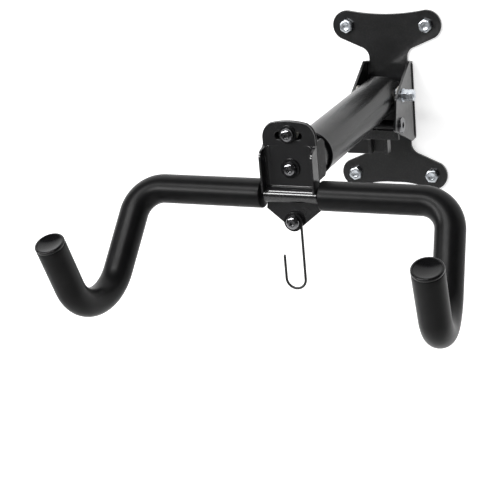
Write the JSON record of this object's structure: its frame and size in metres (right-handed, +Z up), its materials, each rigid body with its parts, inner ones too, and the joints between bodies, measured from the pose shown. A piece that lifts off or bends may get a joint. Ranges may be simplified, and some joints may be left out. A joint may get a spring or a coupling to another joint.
{
  "type": "bicycle wall rack",
  "caption": "Folding wall-mounted bicycle rack: screw-on plate, hinged tube arm, tilting clamp head and a bent bar with two rubber-covered hooks.",
  "frame": {"origin": "centre of the wall plate's back face, midway between its four screws, on the wall surface", "axes": "+Y into the wall along the screws, +Z up, +X to the right of somebody facing the wall"},
  "size_m": [0.4272, 0.5775, 0.2349],
  "materials": {
    "black_powder_coat": "semi-gloss fine-textured black powder coat on pressed steel",
    "black_gloss_coat": "satin-gloss black powder coat on round tube",
    "zinc_steel": "bright zinc plate",
    "black_bolt_steel": "glossy black plated steel",
    "nylon": "natural nylon",
    "black_plastic": "satin moulded black plastic",
    "black_rubber": "smooth satin black rubber",
    "black_wire": "black coated spring wire",
    "bar_steel": "black painted steel rod"
  },
  "bodies": {
    "wall_bracket": {"wall_plate": "black_powder_coat", "wall_screws": "zinc_steel", "cross_brace": "black_powder_coat", "brace_channel": "black_powder_coat", "pivot_bolt": "zinc_steel", "pivot_washer": "zinc_steel", "pivot_nut": "zinc_steel", "pivot_lock_nut": "zinc_steel", "thrust_washers": "nylon", "stop_bolt": "black_bolt_steel", "stop_nut": "black_bolt_steel", "stop_roller": "black_rubber"},
    "arm": {"pivot_sleeve": "zinc_steel", "arm_tube": "black_gloss_coat", "front_bush": "black_plastic", "neck_tube": "black_gloss_coat", "arm_end_plate": "black_powder_coat", "roll_pivot_bolt": "black_bolt_steel", "roll_lock_bolt": "black_bolt_steel", "roll_washers": "black_bolt_steel", "roll_spacers": "nylon", "roll_nuts": "black_bolt_steel"},
    "head": {"front_clamp": "black_powder_coat", "rear_clamp": "black_powder_coat", "clamp_spacer": "black_bolt_steel", "hook_washer": "black_bolt_steel", "clamp_bolt": "black_bolt_steel", "clamp_washer": "black_bolt_steel", "clamp_nut": "black_bolt_steel"},
    "bar": {"hook_bar": "bar_steel", "sleeve_right": "black_rubber", "sleeve_left": "black_rubber", "end_cap_right": "black_plastic", "end_cap_left": "black_plastic"},
    "small_hook": {"accessory_hook": "black_wire"}
  },
  "joints": [
    {"name": "arm_fold", "type": "hinge", "parent": "wall_bracket", "child": "arm", "pos_m": [0, -0.047, 0.0195], "axis": [-1, 0, 0], "range_deg": [0, 88]},
    {"name": "head_roll", "type": "hinge", "parent": "arm", "child": "head", "pos_m": [0, -0.341, 0.0193], "axis": [0, 1, 0], "range_deg": [-15, 15]},
    {"name": "bar_pitch", "type": "hinge", "parent": "head", "child": "bar", "pos_m": [0, -0.3438, -0.00935], "axis": [1, 0, 0], "range_deg": [-20, 20]},
    {"name": "small_hook_swing", "type": "hinge", "parent": "head", "child": "small_hook", "pos_m": [0, -0.3452, -0.0388], "axis": [0, 1, 0], "range_deg": [-60, 60]}
  ]
}
